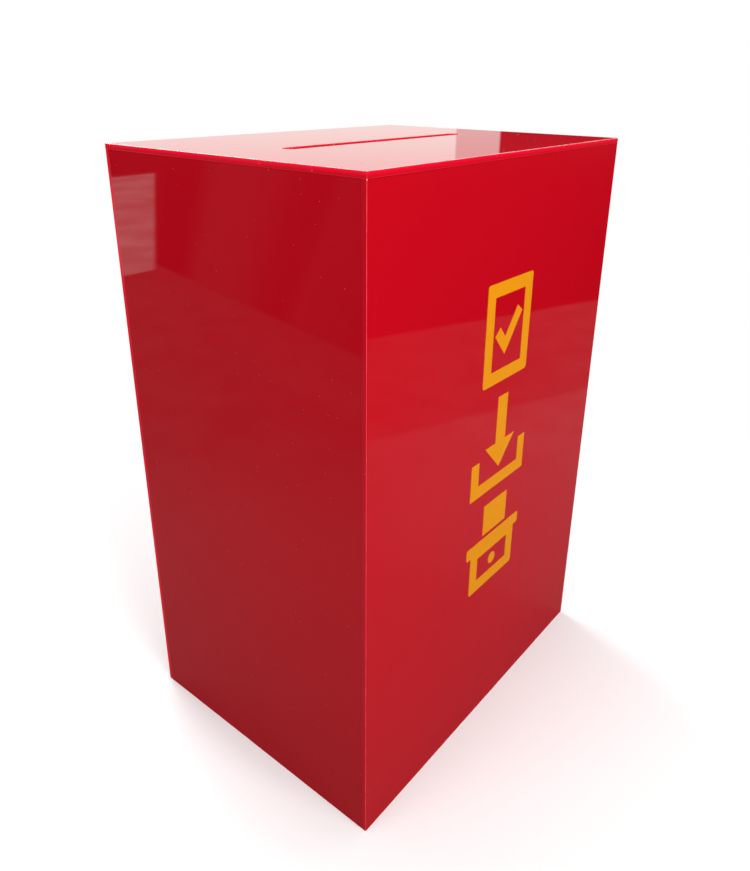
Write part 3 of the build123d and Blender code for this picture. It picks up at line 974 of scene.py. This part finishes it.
class BALLOTBOX_OT_films(Operator):
    """Gives the three marks on the front their vinyl"""

    bl_idname = "ballot_box.films"
    bl_label = "Vinyl marks"

    def execute(self, context):
        material = vinyl(context.scene.ballot_box_film)
        dress("yellow_vinyl", lambda node: material)
        return {"FINISHED"}


class BALLOTBOX_OT_hinges(Operator):
    """Rolls the leaves of both hinges and turns their pins"""

    bl_idname = "ballot_box.hinges"
    bl_label = "Hinges"

    def execute(self, context):
        sizes = context.scene.ballot_box_hinge
        for hinge in HINGES:
            axis = middle(hinge + "_hinge_pin")
            low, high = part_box(hinge + "_hinge_door_leaf")
            reach, height = high.x - axis.x, high.z - low.z
            radius, seat = high.y - axis.y, axis.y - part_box("rear_door")[1].y
            holes = middle("door_leaf_screws").x - axis.x
            for leaf, body, first, side in (("fixed", "case", 0, -1), ("door", "door", 1, 1)):
                bm = hinge_leaf(sizes, reach, height, radius, seat, holes, first)
                moved(bm, at(*axis) @ Matrix.Diagonal((side, 1, 1, 1)))
                metal_piece("rolled", f"{hinge}_hinge_{leaf}_leaf", bm, body, "hinge_steel")
            half, top = height / 2, height / 2 + sizes.head_height
            curve = sizes.head * 0.35
            dome = arc(0, half - curve, curve + sizes.head_height, 90, 35)[1:]
            scale = sizes.head / dome[-1][0]
            up = [(0, top), *[(x * scale, z) for x, z in dome]]
            up += [(sizes.head, half), (sizes.pin, half)]
            down = [(x, -z) for x, z in reversed(up)]
            pin = moved(turned(up + down, steps=32), at(*axis))
            metal_piece("turned", hinge + "_hinge_pin", pin, "case", "screw_steel")
        return {"FINISHED"}


class BALLOTBOX_OT_fasteners(Operator):
    """Makes the hinges' screws and nuts"""

    bl_idname = "ballot_box.fasteners"
    bl_label = "Screws and nuts"

    def execute(self, context):
        sizes = context.scene.ballot_box_screw
        hinge = context.scene.ballot_box_hinge
        inner, back = (corner.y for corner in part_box("rear_door"))
        for leaf, body in (("fixed", "case"), ("door", "door")):
            screws, nuts = leaf + "_leaf_screws", leaf + "_leaf_nuts"
            depth = back + hinge.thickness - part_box(screws)[0].y
            plain = hinge.thickness + (back - inner) * 0.9
            screw = pan_screw(
                sizes.head, sizes.head_height, sizes.head_round, sizes.radius, depth,
                sizes.pitch, plain,
            )
            nut = hexagon_nut(sizes.flats, sizes.nut, sizes.radius)
            places = [
                out_of_back(middle(screws).x, middle(name + "_hinge_pin").z + end * hinge.pitch / 2)
                for name in HINGES for end in (-1, 1)
            ]
            heads = [
                moved(screw.copy(), place @ at(0, 0, hinge.thickness) @ turn(angle))
                for place, angle in zip(places, (0.3, 1.1, 0.7, 0.1))
            ]
            seats = [
                moved(nut.copy(), place @ at(0, 0, inner - back - sizes.nut)) for place in places
            ]
            metal_piece("threaded", screws, joined(heads), body, "screw_steel")
            metal_piece("chamfered", nuts, joined(seats), body, "screw_steel")
        return {"FINISHED"}


class BALLOTBOX_OT_lock_housing(Operator):
    """Makes the lock's threaded housing and its nut"""

    bl_idname = "ballot_box.lock_housing"
    bl_label = "Lock housing"

    def execute(self, context):
        sizes = context.scene.ballot_box_lock
        low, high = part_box("lock_housing")
        head = (high.x - low.x) / 2
        place = out_of_back(middle("lock_plug").x, middle("lock_housing").z)
        top, rounding = sizes.head_height, sizes.head_round
        sunk = 0.0004  # how far the head reaches into the barrel
        tip = 0.0003  # the barrel's chamfer, and how far the lug reaches into it
        edge = 0.0002  # the chamfer under the head's rim
        step = sizes.flat - sunk
        face = turned([
            (sizes.bore, -sunk), (sizes.bore, sizes.collar_floor),
            (sizes.collar, sizes.collar_floor), (sizes.collar, top - sizes.softening),
            (sizes.collar + sizes.softening, top),
            *arc(head - rounding, top - rounding, rounding, 90, 0, 8),
            (head, edge), (head - edge, 0), (step, 0), (step, -sunk),
        ], closed=True, steps=96)
        end = -sizes.barrel_length
        barrel = threaded_rod(
            sizes.barrel, sizes.barrel - sizes.thread, sizes.pitch, end, -0.0001, tip, 64
        )
        lug, ring = outlined([
            (sizes.lug_inner, end - sizes.lug), (sizes.barrel, end - sizes.lug),
            (sizes.barrel, end + tip), (sizes.lug_inner, end + tip),
        ], closed=True)
        wall = lug.faces.new(lug.verts)
        play = radians(20)  # how far the lug ends before each stop
        moved(lug, turn(play - pi / 2) @ at(0, HAIR, 0))
        spun(lug, [wall, *ring], pi * 3 / 2 - 2 * play, 48)
        bmesh.ops.recalc_face_normals(lug, faces=lug.faces)
        reach, half, depth = sizes.barrel * 2, sizes.channel / 2, sizes.channel_depth
        flats = box_mesh((-sizes.flat, -reach, -reach), (sizes.flat, reach, reach))
        start = end + 0.0035  # where the wafers' channels begin
        channel = box_mesh((-half, -depth, start), (half, depth, sizes.collar_floor))
        barrel = combined(
            barrel, ("UNION", lug), ("INTERSECT", flats),
            ("DIFFERENCE", rod(sizes.bore, -reach, reach)), ("DIFFERENCE", channel),
            ("UNION", face),
        )
        metal_piece("threaded", "lock_housing", moved(barrel, place), "door", "lock_chrome")
        low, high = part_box("lock_nut")
        nut = hexagon_nut(sizes.nut_flats, high.y - low.y, sizes.barrel)
        moved(nut, place @ at(0, 0, low.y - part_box("rear_door")[1].y))
        metal_piece("chamfered", "lock_nut", nut, "door", "lock_chrome")
        return {"FINISHED"}


class BALLOTBOX_OT_lock_works(Operator):
    """Makes what turns in the lock: plug, wafers, stop washer, cam and cam screw"""

    bl_idname = "ballot_box.lock_works"
    bl_label = "Lock works"

    def execute(self, context):
        sizes = context.scene.ballot_box_lock
        screw = context.scene.ballot_box_screw
        for node, slot, amount in (
            ("lock_plug", "plug_brass", 0.6), ("lock_wafers", "plug_brass", 0.3),
            ("stop_washer", "cam_steel", 1.0), ("lock_cam", "cam_steel", 1.6),
        ):
            bm = soften(solid_copy(node), sizes.softening * amount, 35)
            metal_piece("finished", node, bm, "lock", slot)
        low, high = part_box("cam_screw")
        height = screw.cam_head_height
        bm = pan_screw(
            screw.cam_head, height, height * 0.45, screw.cam_radius, high.y - low.y - height,
            screw.pitch * 1.4,
        )
        centre = middle("cam_screw")
        moved(bm, at(centre.x, low.y + height, centre.z) @ turn(pi / 2, "X"))
        metal_piece("threaded", "cam_screw", bm, "lock", "screw_steel")
        return {"FINISHED"}


class BALLOTBOX_OT_key(Operator):
    """Makes the key, with a raised rim round its bow and a groove down each side of its blade"""

    bl_idname = "ballot_box.key"
    bl_label = "Key"

    def execute(self, context):
        sizes = context.scene.ballot_box_lock
        low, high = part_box("key")
        centre, bow = (low + high) / 2, (high.z - low.z) / 2
        bow_y = high.y - bow
        deep, half = sizes.panel, sizes.groove / 2
        cutters = []
        for side in (-1, 1):
            face = centre.x + side * (high.x - low.x) / 2
            panel = rod(bow - sizes.rim, -deep, deep, 64)
            moved(panel, at(face, bow_y, centre.z) @ turn(pi / 2, "Y"))
            ring = rod(bow * 0.38, -deep * 2, deep * 2)
            moved(ring, at(face, bow_y + bow / 2, centre.z) @ turn(pi / 2, "Y"))
            cutters.append(cut(panel, ring))
            level = centre.z + side * sizes.groove * 0.8
            cutters.append(box_mesh(
                (face - deep, low.y - deep, level - half), (face + deep, bow_y - bow, level + half)
            ))
        bm = cut(soften(solid_copy("key"), sizes.softening, 50), *cutters)
        metal_piece("cut", "key", bm, "key", "key_nickel")
        return {"FINISHED"}


# Stage


def emptied(owner):
    """The node tree of a new material or world, with no nodes in it."""
    owner.use_nodes = True
    owner.node_tree.nodes.clear()
    return owner.node_tree


def ray_kinds(tree):
    """Masks for what is seen directly and for what shows in glossy reflections."""
    rays = outs(add("ShaderNodeLightPath", tree=tree))
    return most(rays["Is Camera Ray"], rays["Is Transmission Ray"]), rays["Is Glossy Ray"]


def past(here, normal, distance, soft=0.012):
    """A mask for what lies past a straight line on the floor."""
    across = vectors("DOT_PRODUCT", here, (*normal, 0))
    return smooth(across, distance - soft, distance + soft)


def mirrored_floor(here, away):
    """What the box's gloss shows: a pale floor, dark walls beyond it and a lit opening."""
    aside = past(here, (-0.98, -0.2), 0.997)
    walls = most(
        aside, past(here, (0.371, -0.929), 1.294), past(here, (0.98, 0.2), 2, 0.1),
        past(here, (0, 1), 2.1, 0.6),
    )
    pale = smooth(vectors("DOT_PRODUCT", here, (0.6, -0.8, 0)), -0.1, 0.5, 0.13, 0.21)
    pale = between(past(here, (0.371, -0.929), 0.766), pale, 0.12)
    pale = pale * smooth(noisy(here, 9, 5), 0.3, 0.7, 0.82, 1.15)
    hidden = past(here, (0.856, 0.517), 0, 0.08) * past(here, (0, 1), 0.3, 0.12)
    bearing = noisy(vectors("NORMALIZE", here), 7)
    streaks = smooth(bearing, 0.35, 0.65, 0.01, 0.1) * aside
    far = streaks + smooth(away, 3, 30, 0, 0.3)
    lit = past(here, (0, 1), 1.83)
    for normal, distance in (((0, 1), 4.25), ((-0.82, -0.573), 0.062), ((0.856, 0.517), -0.07)):
        lit = lit * (1 - past(here, normal, distance))
    bright = smooth(noisy(here, 4, 4), 0.3, 0.7, 0.65, 1.05)
    return between(lit, between(walls, between(hidden, pale, 0.4), far), bright)


def floor_material(stage):
    """A pale floor that fades into the white backdrop, and is greyer in reflections, with painted
    shade near the box in the light it throws back and in reflections.
    """
    material = bpy.data.materials.new("floor")
    tree = emptied(material)
    here = coordinates(tree)
    away = vectors("LENGTH", here)
    seen, glossy = ray_kinds(tree)
    # Painted shade: for bounced light and for reflections, the floor is painted darker near the
    # box.
    painted_near_shade = glossy * (stage.bounce * 0.4) + stage.bounce * 0.4
    floor_grey_with_painted_shade = smooth(away, 0.2, 0.9, painted_near_shade, stage.bounce * 1.15)
    near = result("ShaderNodeBsdfDiffuse", {"Color": mixed(seen, floor_grey_with_painted_shade, rgba([stage.floor] * 3))})
    shown = mixed(glossy, rgba((1, 1, 1)), mirrored_floor(here, away))
    far = result("ShaderNodeEmission", {"Color": shown})
    fade = smooth(away, 0.4, 0.95) * most(seen, glossy)
    surface = result("ShaderNodeMixShader", {0: fade, 1: near, 2: far})
    add("ShaderNodeOutputMaterial", {"Surface": surface})
    return material


def backdrop(stage):
    """A white world that lights the box evenly, and has a dark corner in reflections."""
    world = bpy.data.worlds.new("backdrop")
    tree = emptied(world)
    x, y, level = split(coordinates(tree, "Generated"))
    above = smooth(level, -0.03, 0.05, 0.3, 1) - smooth(level, 0.12, 0.5, 0, 0.85)
    mirrored = mixed(above, rgba((0, 0, 0)), rgba((1, 0.985, 0.95)))
    bearing = maths("ARCTAN2", y, x)
    low = smooth(level, 0.2, 0.3, 1, 0) * smooth(bearing, radians(-5), radians(5))
    for angle, dark in ((33.6, (0.75, 0.56, 0.55)), (30.4, (0.32, 0.012, 0.02))):
        side = smooth(bearing, radians(angle - 0.1), radians(angle + 0.1), 1, 0)
        mirrored = mixed(side * low, mirrored, rgba(dark))
    seen, glossy = ray_kinds(tree)
    shown = mixed(glossy, mixed(seen, rgba([stage.daylight] * 3), rgba((1, 1, 1))), mirrored)
    light = result("ShaderNodeBackground", {"Color": shown})
    add("ShaderNodeOutputWorld", {"Surface": light})
    return world


def lamp(name, size, watts, place, aim):
    """A soft square lamp, turned towards a point."""
    light = bpy.data.lights.new(name, "AREA")
    light.size = size
    light.energy = watts
    made = put(name, light)
    made.location = place
    made.rotation_euler = (Vector(aim) - Vector(place)).to_track_quat("-Z", "Y").to_euler()


class BALLOTBOX_OT_stage(Operator):
    """Sets up the floor, the backdrop, the lamps and the camera"""

    bl_idname = "ballot_box.stage"
    bl_label = "Stage"

    def execute(self, context):
        scene = context.scene
        stage = scene.ballot_box_stage
        bm = bmesh.new()
        bmesh.ops.create_circle(
            bm, cap_ends=True, segments=96, radius=30, matrix=at(0, 0, -0.0001)
        )
        ground = put("floor", mesh_of("floor", bm))
        ground.data.materials.append(floor_material(stage))
        ground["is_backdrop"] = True
        scene.world = backdrop(stage)
        lamp("front lamp", 1.4, 42, (-0.4, -2.0, 1.45), (0, 0, 0.3))
        lamp("side lamp", 1.4, 12.5, (-1.7, 0.1, 1.5), (0, 0, 0.4))
        lamp("back lamp", 1.2, 40, (0.5, 2.2, 1.9), (0, 0, 0.3))
        lamp("top lamp", 1.0, 7, (0, 0, 2.2), (0, 0, 0.6))
        view = bpy.data.cameras.new("camera")
        view.sensor_fit = "VERTICAL"
        view.sensor_height = 36
        view.lens = stage.lens
        view.shift_x, view.shift_y = stage.shift
        view.clip_start = 0.01
        scene.camera = put("camera", view)
        scene.camera.location = stage.place
        scene.camera.rotation_euler = stage.turn
        scene.view_settings.view_transform = "Standard"
        return {"FINISHED"}


OPERATORS = (
    BALLOTBOX_OT_sheets, BALLOTBOX_OT_beads, BALLOTBOX_OT_films, BALLOTBOX_OT_hinges,
    BALLOTBOX_OT_fasteners, BALLOTBOX_OT_lock_housing, BALLOTBOX_OT_lock_works,
    BALLOTBOX_OT_key, BALLOTBOX_OT_stage,
)


class BALLOTBOX_PT_steps(Panel):
    """Lists the steps that dress the ballot box"""

    bl_idname = "BALLOTBOX_PT_steps"
    bl_label = "Ballot Box"
    bl_space_type = "VIEW_3D"
    bl_region_type = "UI"
    bl_category = "Ballot Box"

    def draw(self, context):
        for operator in OPERATORS:
            self.layout.operator(operator.bl_idname)


CLASSES = (*SETTINGS.values(), *OPERATORS, BALLOTBOX_PT_steps)


def register():
    for kind in CLASSES:
        bpy.utils.register_class(kind)
    for name, settings in SETTINGS.items():
        setattr(bpy.types.Scene, name, PointerProperty(type=settings))


def unregister():
    for name in SETTINGS:
        delattr(bpy.types.Scene, name)
    for kind in reversed(CLASSES):
        bpy.utils.unregister_class(kind)


def corners():
    """The shown object's lowest and highest corners as plain lists."""
    return [list(corner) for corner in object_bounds()]


def main():
    """Dresses the box step by step."""
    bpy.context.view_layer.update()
    register()
    for operator in OPERATORS:
        getattr(bpy.ops.ballot_box, operator.bl_idname.split(".")[1])()


if __name__ == "__main__":
    main()
